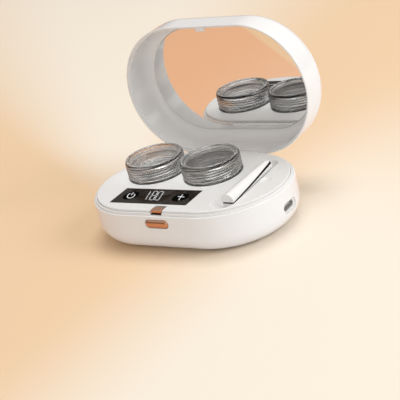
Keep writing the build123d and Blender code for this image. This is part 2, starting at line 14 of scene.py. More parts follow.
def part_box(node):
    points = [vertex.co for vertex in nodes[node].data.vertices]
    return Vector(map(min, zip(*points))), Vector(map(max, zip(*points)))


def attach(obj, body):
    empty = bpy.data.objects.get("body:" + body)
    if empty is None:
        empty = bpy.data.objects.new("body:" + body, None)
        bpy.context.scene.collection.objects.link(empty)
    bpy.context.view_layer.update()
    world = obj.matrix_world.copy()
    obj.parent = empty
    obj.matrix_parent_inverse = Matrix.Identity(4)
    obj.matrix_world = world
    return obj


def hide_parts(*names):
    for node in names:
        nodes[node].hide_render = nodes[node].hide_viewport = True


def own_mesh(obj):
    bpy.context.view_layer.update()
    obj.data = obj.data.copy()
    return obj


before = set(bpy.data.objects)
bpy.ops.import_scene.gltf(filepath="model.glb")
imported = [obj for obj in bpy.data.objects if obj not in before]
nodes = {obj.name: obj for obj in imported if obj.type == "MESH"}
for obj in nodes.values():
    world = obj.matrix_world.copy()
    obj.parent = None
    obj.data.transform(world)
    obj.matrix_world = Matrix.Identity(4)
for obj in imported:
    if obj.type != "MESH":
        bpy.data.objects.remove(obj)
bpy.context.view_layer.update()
mm = 0.001


# %% [markdown]
# ## Camera
# The photograph looks at the cleaner from the front right and from above, with the camera tipped to one
# side. A camera could be aimed with a constraint, but a place, two angles and a roll say plainly how the
# picture was taken, and a long lens keeps the perspective as flat as it is there.

# %% Camera
camera_place = Vector((0.37658, -0.48519, 0.26981))
camera_azimuth = math.radians(37.66)
camera_elevation = math.radians(22.77)
camera_roll = math.radians(-14.51)
camera_lens = 120.45
sensor_width = 36.0

camera_data = bpy.data.cameras.new("camera")
camera_data.lens = camera_lens
camera_data.sensor_width = sensor_width
camera = bpy.data.objects.new("camera", camera_data)
aim = Matrix.Rotation(camera_azimuth, 4, "Z") @ Matrix.Rotation(math.pi / 2 - camera_elevation, 4, "X")
camera.matrix_world = Matrix.Translation(camera_place) @ aim @ Matrix.Rotation(camera_roll, 4, "Z")
bpy.context.scene.collection.objects.link(camera)
bpy.context.scene.camera = camera
bpy.context.scene.view_settings.view_transform = "Standard"
print("camera", round(camera_place.length, 3), "m from the origin")


# %% [markdown]
# ## Small helpers for nodes
# Materials here are node trees. A few short helpers keep each material readable: they add a node and set
# its properties, join two sockets, work out a number, blend two colours, and start a group or a material.
# The same nodes could be added by hand in the shader editor, but a function can be read and used again.

# %% Node helpers
def add_node(tree, kind, inputs=None, **settings):
    node = tree.nodes.new("ShaderNode" + kind)
    for name, value in settings.items():
        setattr(node, name, value)
    for name, value in (inputs or {}).items():
        node.inputs[name].default_value = value
    return node


def join(tree, source, target):
    tree.links.new(source, target)


def feed(tree, target, value):
    """Joins a socket to the target, or sets the target where the value is a number or a colour."""
    if isinstance(value, bpy.types.NodeSocket):
        join(tree, value, target)
    else:
        target.default_value = (*value, 1) if isinstance(value, tuple) else value


def maths(tree, operation, *values):
    """The result of a maths node, from numbers or sockets."""
    node = add_node(tree, "Math", operation=operation)
    for target, value in zip(node.inputs, values):
        feed(tree, target, value)
    return node.outputs["Value"]


def blended(tree, factor, first, second):
    """The colour between two colours or sockets, as the factor goes from 0 to 1."""
    mix = add_node(tree, "Mix", data_type="RGBA")
    for label, value in (("Factor", factor), ("A", first), ("B", second)):
        feed(tree, mix.inputs[label], value)
    return mix.outputs["Result"]


def darker(colour, share):
    return tuple(channel * share for channel in colour)


def object_place(tree):
    """The X, Y and Z sockets of Object coordinates, in metres."""
    place = add_node(tree, "TexCoord")
    parts = add_node(tree, "SeparateXYZ")
    join(tree, place.outputs["Object"], parts.inputs[0])
    return parts.outputs


def new_group(name, inputs, outputs):
    """A node group with its two end nodes, from {input: value} and {output: kind of socket}."""
    tree = bpy.data.node_groups.new(name, "ShaderNodeTree")
    for label, value in inputs.items():
        socket = tree.interface.new_socket(name=label, in_out="INPUT", socket_type="NodeSocketFloat")
        socket.default_value = value
    for label, kind in outputs.items():
        tree.interface.new_socket(name=label, in_out="OUTPUT", socket_type="NodeSocket" + kind)
    start = tree.nodes.new("NodeGroupInput")
    end = tree.nodes.new("NodeGroupOutput")
    return tree, start, end


def new_material(name):
    """A material that uses nodes, with its tree and its Principled shader."""
    material = bpy.data.materials.new(name)
    material.use_nodes = True
    tree = material.node_tree
    return material, tree, tree.nodes["Principled BSDF"]


# %% [markdown]
# ## Finish of moulded plastic
# A moulded casing isn't perfectly even: its gloss waves a little where the plastic cooled, and hands leave
# hairline scratches. These effects could be painted per material, but as groups they are built once and
# each material sets how much of them it shows. Everything reads Object coordinates, in metres.

# %% Group: moulded skin
def make_moulded_skin():
    """Slow waves and a fine orange-peel for bump, and a soft mottle for roughness."""
    sockets = {"Fine Scale": 1800.0, "Wave Scale": 60.0, "Fine Share": 0.3}
    tree, start, end = new_group("moulded_skin", sockets, {"Height": "Float", "Mottle": "Float"})
    place = add_node(tree, "TexCoord")
    fine = add_node(tree, "TexNoise", {"Detail": 2.0, "Roughness": 0.5})
    wave = add_node(tree, "TexNoise", {"Detail": 1.0, "Roughness": 0.4})
    mottle = add_node(tree, "TexNoise", {"Scale": 140.0, "Detail": 4.0, "Roughness": 0.6})
    blend = add_node(tree, "Mix", data_type="FLOAT")
    for texture in (fine, wave, mottle):
        join(tree, place.outputs["Object"], texture.inputs["Vector"])
    join(tree, start.outputs["Fine Scale"], fine.inputs["Scale"])
    join(tree, start.outputs["Wave Scale"], wave.inputs["Scale"])
    join(tree, start.outputs["Fine Share"], blend.inputs["Factor"])
    join(tree, wave.outputs["Fac"], blend.inputs["A"])
    join(tree, fine.outputs["Fac"], blend.inputs["B"])
    join(tree, blend.outputs["Result"], end.inputs["Height"])
    join(tree, mottle.outputs["Fac"], end.inputs["Mottle"])
    return tree


# %% Group: hairlines
hairline_runs = ((0.4, (30.0, 2600.0, 2600.0)), (1.7, (36.0, 3100.0, 3100.0)))
hairline_tilt = (0.6, 0.8, 1.0)


def make_hairlines():
    """Sparse fine scratches in two directions: noise stretched a hundredfold, cut to thin lines."""
    tree, start, end = new_group("hairlines", {"Cut": 0.66}, {"Mask": "Float"})
    place = add_node(tree, "TexCoord")
    masks = []
    for turn, stretch in hairline_runs:
        mapping = add_node(tree, "Mapping")
        mapping.inputs["Rotation"].default_value = [turn * share for share in hairline_tilt]
        mapping.inputs["Scale"].default_value = stretch
        texture = add_node(tree, "TexNoise", {"Scale": 1.0, "Detail": 1.0, "Roughness": 0.5})
        cut = add_node(tree, "MapRange", {"From Max": 0.8}, interpolation_type="SMOOTHSTEP")
        join(tree, place.outputs["Object"], mapping.inputs["Vector"])
        join(tree, mapping.outputs["Vector"], texture.inputs["Vector"])
        join(tree, texture.outputs["Fac"], cut.inputs["Value"])
        join(tree, start.outputs["Cut"], cut.inputs["From Min"])
        masks.append(cut.outputs["Result"])
    join(tree, maths(tree, "MAXIMUM", *masks), end.inputs["Mask"])
    return tree


# %% Group: soft edges
edge_round = 0.25 * mm


def make_soft_edges():
    """The rounded normal of a moulded edge, and a mask that is 1 on such an edge."""
    tree, _, end = new_group("soft_edges", {}, {"Normal": "Vector", "Mask": "Float"})
    rounded = add_node(tree, "Bevel", {"Radius": edge_round}, samples=6)
    geometry = add_node(tree, "NewGeometry")
    product = add_node(tree, "VectorMath", operation="DOT_PRODUCT")
    edge = add_node(tree, "MapRange", {"From Min": 0.98, "From Max": 0.75})
    join(tree, rounded.outputs["Normal"], product.inputs[0])
    join(tree, geometry.outputs["Normal"], product.inputs[1])
    join(tree, product.outputs["Value"], edge.inputs["Value"])
    join(tree, rounded.outputs["Normal"], end.inputs["Normal"])
    join(tree, edge.outputs["Result"], end.inputs["Mask"])
    return tree


moulded_skin = make_moulded_skin()
hairlines = make_hairlines()
soft_edges = make_soft_edges()
print("groups:", [tree.name for tree in (moulded_skin, hairlines, soft_edges)])


# %% [markdown]
# ## Materials
# Most of the cleaner is one family of finishes: a coloured plastic or metal with a little mottle, a little
# bump and some wear. One function builds that family from a few values, so that the pieces differ as the
# real ones do, and the clear plastic and the lit figures have functions of their own.

# %% Solid finishes
wear_gain = 1.15
wear_lift = 0.03
mottle_low = 0.3
mottle_high = 0.7


def solid_finish(name, colour, roughness, metallic=0.0, mottle=0.04, bump=0.02, wear=0.15, edge=0.0,
                 spread=0.15):
    """A finish with uneven gloss, fine bump in mm, hairlines and, where edge is set, lighter worn edges."""
    material, tree, shader = new_material(name)
    shader.inputs["Metallic"].default_value = metallic
    skin = add_node(tree, "Group", node_tree=moulded_skin)
    lines = add_node(tree, "Group", node_tree=hairlines)
    edges = add_node(tree, "Group", node_tree=soft_edges)

    tint = blended(tree, skin.outputs["Mottle"], darker(colour, 1 - mottle), colour)
    rubbed = tuple(min(1.0, channel * wear_gain + wear_lift) for channel in colour)
    share = maths(tree, "MULTIPLY", edges.outputs["Mask"], edge)
    join(tree, blended(tree, share, tint, rubbed), shader.inputs["Base Color"])

    gloss = add_node(tree, "MapRange", {"From Min": mottle_low, "From Max": mottle_high})
    gloss.inputs["To Min"].default_value = roughness * (1 - spread)
    gloss.inputs["To Max"].default_value = roughness * (1 + spread)
    join(tree, skin.outputs["Mottle"], gloss.inputs["Value"])
    scratched = maths(tree, "MULTIPLY_ADD", lines.outputs["Mask"], wear, gloss.outputs["Result"])
    join(tree, scratched, shader.inputs["Roughness"])

    relief = add_node(tree, "Bump", {"Strength": 1.0, "Distance": bump * mm})
    join(tree, skin.outputs["Height"], relief.inputs["Height"])
    join(tree, edges.outputs["Normal"], relief.inputs["Normal"])
    join(tree, relief.outputs["Normal"], shader.inputs["Normal"])
    return material


white_gloss = solid_finish("white_gloss", (0.85, 0.85, 0.85), 0.08, mottle=0.01, bump=0.004, wear=0.05)
deck_satin = solid_finish("deck_satin", (0.80, 0.80, 0.795), 0.30, mottle=0.01, bump=0.003, wear=0.05,
                          spread=0.04)
tool_white = solid_finish("tool_white", (0.88, 0.88, 0.88), 0.10, wear=0.06)
rose_plating = solid_finish("rose_plating", (0.60, 0.33, 0.215), 0.08, metallic=1.0, wear=0.12, edge=0.5)
rose_inlay = solid_finish("rose_inlay", (0.80, 0.43, 0.27), 0.24, metallic=1.0, wear=0.15, edge=0.4)
silvered = solid_finish("silvered", (0.90, 0.90, 0.90), 0.015, metallic=1.0, mottle=0.01, bump=0.0, wear=0.01)
display_smoke = solid_finish("display_smoke", (0.018, 0.012, 0.009), 0.06, mottle=0.2, wear=0.05)
figure_grey = solid_finish("figure_grey", (0.055, 0.055, 0.058), 0.2, mottle=0.2, wear=0.05)
touch_black = solid_finish("touch_black", (0.004, 0.004, 0.004), 0.12, mottle=0.2, wear=0.05)
module_white = solid_finish("module_white", (0.72, 0.72, 0.70), 0.5)
board_green = solid_finish("board_green", (0.02, 0.16, 0.07), 0.35, mottle=0.3)
steel = solid_finish("steel", (0.60, 0.60, 0.61), 0.28, metallic=1.0, wear=0.2)
# The vibration plates' steel is much darker than the other steel: painted shade for the dark well seen
# through the jars.
plate_steel_painted_shade = solid_finish("plate_steel_painted_shade", (0.14, 0.14, 0.14), 0.3, metallic=1.0, wear=0.2)
tinned = solid_finish("tinned", (0.45, 0.45, 0.44), 0.5, metallic=0.15, wear=0.1)
piezo = solid_finish("piezo", (0.55, 0.53, 0.48), 0.4, mottle=0.15)
silicone = solid_finish("silicone", (0.62, 0.62, 0.61), 0.45)
foot_rubber = solid_finish("foot_rubber", (0.16, 0.16, 0.165), 0.65, mottle=0.15, bump=0.06)
foam = solid_finish("foam", (0.35, 0.35, 0.35), 0.8, mottle=0.2, bump=0.15)
cell_wrap = solid_finish("cell_wrap", (0.45, 0.47, 0.50), 0.3, metallic=0.6, mottle=0.1)
print("solid finishes:", len(bpy.data.materials))


# %% [markdown]
# ## Dark slit of the tweezers
# The two halves of the real tweezers are parted by a thin slit that looks black, because no light gets out of
# it. A render of pale plastic lets light bounce out, so the finish turns black near the slit's plane. That
# costs one comparison of heights, where a separate black piece would have to move with both halves.

# %% Dark slit of the tweezers
slit_near_y = -21.5 * mm
slit_near_z = 22.75 * mm
slit_climb = 0.07
slit_half = 0.5 * mm
slit_black = (0.004, 0.004, 0.004)
slit_roughness = 0.9


def darken_slit(material):
    """Blackens the two faces of the thin slit, whose middle plane climbs along the stick."""
    tree = material.node_tree
    shader = tree.nodes["Principled BSDF"]
    _, y, z = object_place(tree)
    middle = maths(tree, "MULTIPLY_ADD", y, slit_climb, slit_near_z - slit_climb * slit_near_y)
    inside = maths(tree, "COMPARE", maths(tree, "SUBTRACT", z, middle), 0.0, slit_half)
    colour = shader.inputs["Base Color"]
    join(tree, blended(tree, inside, colour.links[0].from_socket, slit_black), colour)
    gloss = shader.inputs["Roughness"]
    choice = add_node(tree, "Mix", {"B": slit_roughness}, data_type="FLOAT")
    join(tree, inside, choice.inputs["Factor"])
    join(tree, gloss.links[0].from_socket, choice.inputs["A"])
    join(tree, choice.outputs["Result"], gloss)


darken_slit(tool_white)
print("slit plane climbs", slit_climb, "from", slit_near_z / mm, "mm")


# %% [markdown]
# ## Clear plastic and lit figures
# Clear plastic is all transmission, and its colour comes from a tint in the shader. In a small picture the
# grooves of the real jars read as dark lines, so painted shade darkens the tint where a point attribute marks
# such a line or band.
# The figures of the display give off a little light of their own.

# %% Clear plastic and lit figures
flow_tint = 0.95
# How dark the painted shade of grooves and bands gets, as a share of the tint.
painted_shade_tint = 0.04
scratch_haze = 0.1
flow_bump = 0.01 * mm
figure_roughness = 0.3
glow_low = 0.85


def clear_finish(name, colour, roughness, ior=1.5, painted_shade=0.0):
    """Tinted clear plastic with faint flow waves and hairlines, and painted shade where a point attribute
    marks grooves or bands.
    """
    material, tree, shader = new_material(name)
    shader.inputs["Transmission Weight"].default_value = 1.0
    shader.inputs["IOR"].default_value = ior
    skin = add_node(tree, "Group", node_tree=moulded_skin)
    lines = add_node(tree, "Group", node_tree=hairlines)
    tint = blended(tree, skin.outputs["Mottle"], darker(colour, flow_tint), colour)
    # Painted shade: the point attribute darkens the tint towards near black.
    depth = add_node(tree, "Attribute", attribute_name="painted_shade")
    share = maths(tree, "MULTIPLY", depth.outputs["Fac"], painted_shade)
    join(tree, blended(tree, share, tint, darker(colour, painted_shade_tint)), shader.inputs["Base Color"])
    haze = maths(tree, "MULTIPLY_ADD", lines.outputs["Mask"], scratch_haze, roughness)
    join(tree, haze, shader.inputs["Roughness"])
    relief = add_node(tree, "Bump", {"Strength": 1.0, "Distance": flow_bump})
    join(tree, skin.outputs["Height"], relief.inputs["Height"])
    join(tree, relief.outputs["Normal"], shader.inputs["Normal"])
    return material


def lit_finish(name, colour, strength):
    """A lit figure: a pale light with a slightly uneven glow along its bar."""
    material, tree, shader = new_material(name)
    shader.inputs["Roughness"].default_value = figure_roughness
    shader.inputs["Emission Strength"].default_value = strength
    skin = add_node(tree, "Group", node_tree=moulded_skin)
    glow = blended(tree, skin.outputs["Mottle"], darker(colour, glow_low), colour)
    join(tree, glow, shader.inputs["Base Color"])
    join(tree, glow, shader.inputs["Emission Color"])
    return material


smoke_clear = clear_finish("smoke_clear", (0.985, 0.985, 0.98), 0.01, painted_shade=1.0)
seal_clear = clear_finish("seal_clear", (0.94, 0.94, 0.93), 0.02, ior=1.41)
lit_white = lit_finish("lit_white", (0.88, 0.90, 0.92), 0.45)
glass_shine = {display_smoke: 0.09, touch_black: 0.0, figure_grey: 0.1}
for glassy, shine in glass_shine.items():
    glassy.node_tree.nodes["Principled BSDF"].inputs["Specular IOR Level"].default_value = shine
print("materials:", len(bpy.data.materials))


# %% [markdown]
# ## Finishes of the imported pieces
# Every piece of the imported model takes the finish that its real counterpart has, even the six that later
# cells model again with more detail. A table of finish against pieces reads like a parts list, so it is
# easier to check than one line a piece.

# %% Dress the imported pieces
finish_of = {
    white_gloss: ["base_shell", "lid_shell", "lid_top_panel"],
    deck_satin: ["deck_panel"],
    tool_white: ["tweezers_body", "tweezers_arm"],
    rose_plating: ["latch_button", "latch_hook"],
    rose_inlay: ["lid_ring"],
    silvered: ["mirror"],
    display_smoke: ["display_window"],
    touch_black: ["power_touch_pad", "timer_touch_pad"],
    figure_grey: ["display_digits"],
    module_white: ["display_module"],
    board_green: ["display_board", "main_board"],
    steel: ["hinge_pin", "latch_spring", "deck_screws", "board_screws"],
    plate_steel_painted_shade: ["vibration_plate_left", "vibration_plate_right"],
    tinned: ["usb_socket"],
    piezo: ["transducer_left", "transducer_right"],
    silicone: ["plate_gasket_left", "plate_gasket_right"],
    seal_clear: ["jar_seal_left", "jar_seal_right"],
    foot_rubber: ["foot_pad"],
    foam: ["mirror_adhesive"],
    cell_wrap: ["battery"],
    smoke_clear: ["jar_cup_left", "jar_cup_right", "jar_cap_left", "jar_cap_right"],
}
for material, names in finish_of.items():
    for name in names:
        mesh = nodes[name].data
        mesh.materials.clear()
        mesh.materials.append(material)
print("dressed", sum(len(names) for names in finish_of.values()), "of", len(nodes), "pieces")


# %% [markdown]
# ## Clear jars
# A lens jar is a clear cup with a clear screw cap. What the eye sees is light bent by the cap's fine
# upright flutes, by the threads behind them and by the thick rounded rim. The shapes could be faked with a
# bump, but only real relief bends light at the silhouette, so an outline is spun and its walls are rippled.

# %% Turning tools
doublings = 4
corner_segments = 5
shortest_cut_wall = 2.5 * mm
axis_clearance = 1 * mm
upright_slack = 0.01 * mm
merge_distance = 0.002 * mm
ripple_fade = 0.7


def turned_shape(outline, roundings, columns, row_step):
    """Turns an outline of (radius, height) in mm round Z. roundings is {corner number: radius in mm}.

    A sixteenth is spun and then doubled four times, which is much quicker than one full spin."""
    bm = bmesh.new()
    corners = [bm.verts.new((radius * mm, 0, height * mm)) for radius, height in outline]
    for pair in zip(corners, corners[1:]):
        bm.edges.new(pair)
    for number, size in roundings.items():
        bmesh.ops.bevel(bm, geom=[corners[number]], offset=size * mm, affect="VERTICES",
                        segments=corner_segments, profile=0.5, material=-1)
    for edge in [e for e in bm.edges if e.calc_length() > shortest_cut_wall]:
        upright = abs(edge.verts[0].co.x - edge.verts[1].co.x) < upright_slack
        if upright and edge.verts[0].co.x > axis_clearance:
            cuts = int(edge.calc_length() / (row_step * mm))
            bmesh.ops.subdivide_edges(bm, edges=[edge], cuts=cuts)
    sector = 2 * math.pi / 2 ** doublings
    bmesh.ops.spin(bm, geom=bm.verts[:] + bm.edges[:], cent=(0, 0, 0), axis=(0, 0, 1),
                   angle=sector, steps=columns // 2 ** doublings)
    for _ in range(doublings):
        copied = bmesh.ops.duplicate(bm, geom=bm.verts[:] + bm.edges[:] + bm.faces[:])["geom"]
        moved = [item for item in copied if isinstance(item, bmesh.types.BMVert)]
        bmesh.ops.rotate(bm, verts=moved, cent=(0, 0, 0), matrix=Matrix.Rotation(sector, 3, "Z"))
        sector *= 2
    bmesh.ops.remove_doubles(bm, verts=bm.verts, dist=merge_distance)
    bmesh.ops.recalc_face_normals(bm, faces=bm.faces)
    return bm


def ripple(bm, wall, low, high, shape, reach=0.02):
    """Moves one round wall in or out by shape(angle, height), fading out towards its two ends.

    The painted shade of each point, from 0 on a crest to 1 in a groove, is kept as a point attribute."""
    painted_shade = bm.verts.layers.float.get("painted_shade") or bm.verts.layers.float.new("painted_shade")
    for vert in bm.verts:
        radius = vert.co.xy.length
        height = vert.co.z
        if abs(radius - wall * mm) < reach * mm and low * mm < height < high * mm:
            ease = min(1.0, (height / mm - low) / ripple_fade, (high - height / mm) / ripple_fade)
            angle = math.atan2(vert.co.y, vert.co.x)
            shift, depth = shape(angle, height / mm)
            # Painted shade along the grooves, which the clear finish turns dark.
            vert[painted_shade] = ease * depth
            factor = 1 + ease * shift * mm / radius
            vert.co.x *= factor
            vert.co.y *= factor


def piece_from(bm, name, finish, place, body, stands_for=()):
    """Makes an object of a bmesh, with its place in its mesh, and lets it ride on a body."""
    bmesh.ops.translate(bm, verts=bm.verts, vec=place)
    mesh = bpy.data.meshes.new(name)
    bm.to_mesh(mesh)
    bm.free()
    mesh.materials.append(finish)
    for face in mesh.polygons:
        face.use_smooth = True
    piece = bpy.data.objects.new(name, mesh)
    bpy.context.scene.collection.objects.link(piece)
    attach(piece, body)
    if stands_for:
        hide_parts(*stands_for)
    print(name, len(mesh.polygons), "faces")
    return piece


# %% Sizes of the jars
flute_count = 96
flute_depth = 0.055
thread_starts = 3
thread_lead = 4.0
thread_relief = 0.25
thread_shade = 0.6
thread_sharpness = 6
neck_relief = 0.25
line_depth = 0.2
line_wobble = 0.9
line_sharpness = 5
neck_radius = 12.35
print("thread pitch:", round(thread_lead / thread_starts, 2), "mm, flutes:", flute_count)


def thread(relief, shift):
    """A right-handed thread of several starts: the surface rises by the lead in one turn, and painted shade
    lies along its grooves.
    """
    pitch = thread_lead / thread_starts

    def shape(angle, height):
        wave = math.cos(2 * math.pi * height / pitch - thread_starts * angle + shift)
        return relief * wave, thread_shade * (0.5 - 0.5 * wave) ** thread_sharpness

    return shape


def flutes(angle, height):
    """Fine upright ribs, crossed by shallow thread lines that the ribs make wavy; the lines also carry
    painted shade.
    """
    dip = 0.5 - 0.5 * math.cos(flute_count * angle)
    turn = 2 * math.pi * height * thread_starts / thread_lead - thread_starts * angle
    wavy_turn = turn + line_wobble * math.cos(flute_count * angle)
    line = (0.5 - 0.5 * math.cos(wavy_turn)) ** line_sharpness
    return -2 * flute_depth * dip - line_depth * line, line


def shade_band(bm, inner, outer, low, high, depth):
    """Marks a band of a piece, given by its radii and heights in mm, with painted shade; depth says how dark,
    as for a groove.
    """
    painted_shade = bm.verts.layers.float.get("painted_shade") or bm.verts.layers.float.new("painted_shade")
    for vert in bm.verts:
        if inner * mm < vert.co.xy.length < outer * mm and low * mm < vert.co.z < high * mm:
            vert[painted_shade] = max(vert[painted_shade], depth)


# %% [markdown]
# ## Caps and cups
# The real cap is a fluted ring with a sunk top plate, and the cup under it has a threaded neck, a flange that
# rests on the deck and a round bottom. Each is one outline, read from the axis to the outside and back. Bands
# of painted shade darken the cap's rim and dish edge and the cup's flange and lower part, and the right cap's
# plate has more painted shade than the left's, for the darker inside seen through it.

# %% Screw cap
cap_wall = 1.9
cap_rim = 2.3
plate_underside = 2.3
plate_edge = 2.9
plate_slope = 1.5
dish_depth = 1.5
dish_flare = 0.2
skirt_draft = 0.05
skirt_foot = 0.5
rim_fall = 1.2
rim_lean = 0.6
cap_columns = flute_count * 5
cap_row = 0.2
cap_roundings = {1: 0.6, 2: 0.5, 3: 0.2, 4: 0.25, 6: 0.5, 7: 0.5, 8: 0.5, 9: 0.6}
# Painted shade on each cap's top plate, darker on the right, for the darker inside seen through it.
top_painted_shade = {"left": 0.0, "right": 0.6}


def make_cap(side):
    low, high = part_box("jar_cap_" + side)
    radius = (high.x - low.x) / 2 / mm
    tall = (high.z - low.z) / mm
    bore = radius - cap_wall
    dish = radius - cap_rim
    underside = [(0, tall - plate_underside), (bore - plate_slope, tall - plate_underside)]
    inner_wall = [(bore, tall - plate_edge), (bore, 0)]
    skirt = [(radius - skirt_draft, 0), (radius, skirt_foot)]
    rim = [(radius, tall - rim_fall), (radius - rim_lean, tall), (dish + dish_flare, tall)]
    top = [(dish, tall - dish_depth), (0, tall - dish_depth)]
    bm = turned_shape(underside + inner_wall + skirt + rim + top, cap_roundings, cap_columns, cap_row)
    ripple(bm, bore, low=0.3, high=tall - 3.0, shape=thread(thread_relief, shift=0.0))
    ripple(bm, radius, low=0.6, high=tall, shape=flutes, reach=0.75)
    # Painted shade: a dark band at the rim's outer edge, one at the dish edge, and the top plate's own
    # painted shade.
    shade_band(bm, inner=radius - 0.45, outer=radius + 0.1, low=tall - 0.55, high=tall - 0.2, depth=0.8)
    shade_band(bm, inner=dish - 0.1, outer=dish + 0.5, low=tall - 0.6, high=tall - 0.15, depth=0.6)
    shade_band(bm, inner=-1, outer=dish, low=tall - 2.4, high=tall - 1.4, depth=top_painted_shade[side])
    place = ((low.x + high.x) / 2, (low.y + high.y) / 2, low.z)
    cap = piece_from(bm, "fluted_cap_" + side, smoke_clear, place, "cap_" + side, ["jar_cap_" + side])
    return cap


# %% Threaded cup
shoulder = 10.1
flange_height = 1.3
cup_radius = 12.0
cup_bore = 11.0
cup_floor = 1.2
cup_foot = 11.2
foot_rise = 0.9
cup_columns = 240
cup_row = 0.18
cup_roundings = {1: 0.5, 2: 0.4, 4: 0.4, 5: 0.4, 6: 0.3, 7: 0.2, 8: 0.2, 9: 3.0}


def make_cup(side):
    low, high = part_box("jar_cup_" + side)
    flange = (high.x - low.x) / 2 / mm
    tall = (high.z - low.z) / mm
    outside = [(0, 0), (cup_foot, 0), (cup_radius, foot_rise), (cup_radius, shoulder)]
    collar = [(flange, shoulder), (flange, shoulder + flange_height), (neck_radius, shoulder + flange_height)]
    inside = [(neck_radius, tall), (cup_bore, tall), (cup_bore, cup_floor), (0, cup_floor)]
    bm = turned_shape(outside + collar + inside, cup_roundings, cup_columns, cup_row)
    ripple(bm, neck_radius, low=shoulder + 1.8, high=tall - 0.3, shape=thread(neck_relief, shift=1.5))
    # Painted shade: a dark line at the flange's edge, and a faint darkening of the cup's lower part in the
    # well.
    shade_band(bm, inner=flange - 0.3, outer=flange + 0.1, low=shoulder - 0.1, high=shoulder + 1, depth=0.9)
    shade_band(bm, inner=0, outer=neck_radius - 0.1, low=-0.1, high=shoulder - 0.5, depth=0.15)
    place = ((low.x + high.x) / 2, (low.y + high.y) / 2, low.z)
    cup = piece_from(bm, "threaded_cup_" + side, smoke_clear, place, "jar_" + side, ["jar_cup_" + side])
    return cup


for side in ("left", "right"):
    for clear_piece in (make_cap(side), make_cup(side), nodes["jar_seal_" + side]):
        clear_piece.visible_shadow = False


# %% [markdown]
# ## Latch button
# The real button is a plated capsule, strongly crowned so that a finger finds it, and its curve is what
# makes the bright and dark stripes. A slot outline is extruded and its front is inset in steps that follow
# an ellipse, which gives the crown without any hand-placed points.

# %% Crowned button
button_length = 13.3 * mm
button_height = 4.3 * mm
button_depth = 2.2 * mm
crown_height = 1.3 * mm
crown_steps = 10
crown_angle = 86
crown_share = 0.98
button_segments = 48
on_axis = 1e-6


def make_button():
    low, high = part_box("latch_button")
    bm = bmesh.new()
    bmesh.ops.create_circle(bm, cap_ends=True, segments=button_segments, radius=button_height / 2)
    reach = (button_length - button_height) / 2
    for vert in bm.verts:
        vert.co.x += math.copysign(reach, vert.co.x) if abs(vert.co.x) > on_axis else 0
    bmesh.ops.rotate(bm, verts=bm.verts, cent=(0, 0, 0), matrix=Matrix.Rotation(math.pi / 2, 3, "X"))
    back = bmesh.ops.extrude_face_region(bm, geom=bm.faces[:])
    deep = [item for item in back["geom"] if isinstance(item, bmesh.types.BMVert)]
    bmesh.ops.translate(bm, verts=deep, vec=(0, button_depth, 0))
    bmesh.ops.recalc_face_normals(bm, faces=bm.faces)
    face = min((f for f in bm.faces if len(f.verts) > 4), key=lambda f: f.calc_center_median().y)
    for step in range(crown_steps):
        near = math.radians(crown_angle * step / crown_steps)
        far = math.radians(crown_angle * (step + 1) / crown_steps)
        inwards = button_height / 2 * (math.cos(near) - math.cos(far)) * crown_share
        forwards = crown_height * (math.sin(far) - math.sin(near))
        bmesh.ops.inset_region(bm, faces=[face], thickness=inwards, depth=forwards, use_even_offset=True)
    place = ((low.x + high.x) / 2, low.y + crown_height, (low.z + high.z) / 2)
    button = piece_from(bm, "crowned_button", rose_plating, place, "latch", ["latch_button"])


make_button()


# %% [markdown]
# ## Latch spring
# Behind the real button sits a bowed strip of spring steel that flattens as the button goes in. A flat bar is
# cut along its length and its points are pushed back along a parabola, which is close to how a strip bends.

# %% Bowed spring
spring_strip = 0.3 * mm
spring_cuts = 31


def make_spring():
    low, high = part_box("latch_spring")
    half = (high.x - low.x) / 2
    bow = high.y - low.y
    bm = bmesh.new()
    made = bmesh.ops.create_cube(bm, size=1.0)["verts"]
    bmesh.ops.scale(bm, verts=made, vec=(2 * half, spring_strip, high.z - low.z))
    along = [e for e in bm.edges if abs(e.verts[0].co.x - e.verts[1].co.x) > half]
    bmesh.ops.subdivide_edges(bm, edges=along, cuts=spring_cuts, use_grid_fill=True)
    for vert in bm.verts:
        vert.co.y += spring_strip / 2 + (bow - spring_strip) * (vert.co.x / half) ** 2
    bmesh.ops.recalc_face_normals(bm, faces=bm.faces)
    place = ((low.x + high.x) / 2, low.y, (low.z + high.z) / 2)
    spring = piece_from(bm, "bowed_spring", steel, place, "base", ["latch_spring"])
    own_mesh(spring)


make_spring()


# %% [markdown]
# ## Printed marks
# The two touch areas carry a printed power mark and a plain plus. Print could be a texture, but a thin
# raised film keeps a crisp edge at any distance and exports as what it is. So the marks are flat bars and
# one spun arc, a hair above the glass.

# %% Printing tools
print_height = 0.05 * mm
print_lift = 0.01 * mm
print_width = 0.36 * mm
arc_steps = 40


def printed_bar(bm, start, end, width=print_width):
    """A thin bar from start to end, as (x, y) in mm from the mark's centre."""
    run = Vector(end) - Vector(start)
    middle = (Vector(start) + Vector(end)) / 2
    made = bmesh.ops.create_cube(bm, size=1.0)["verts"]
    bmesh.ops.scale(bm, verts=made, vec=(run.length * mm, width, print_height))
    turn = Matrix.Rotation(math.atan2(run.y, run.x), 3, "Z")
    bmesh.ops.rotate(bm, verts=made, cent=(0, 0, 0), matrix=turn)
    bmesh.ops.translate(bm, verts=made, vec=(middle.x * mm, middle.y * mm, 0))


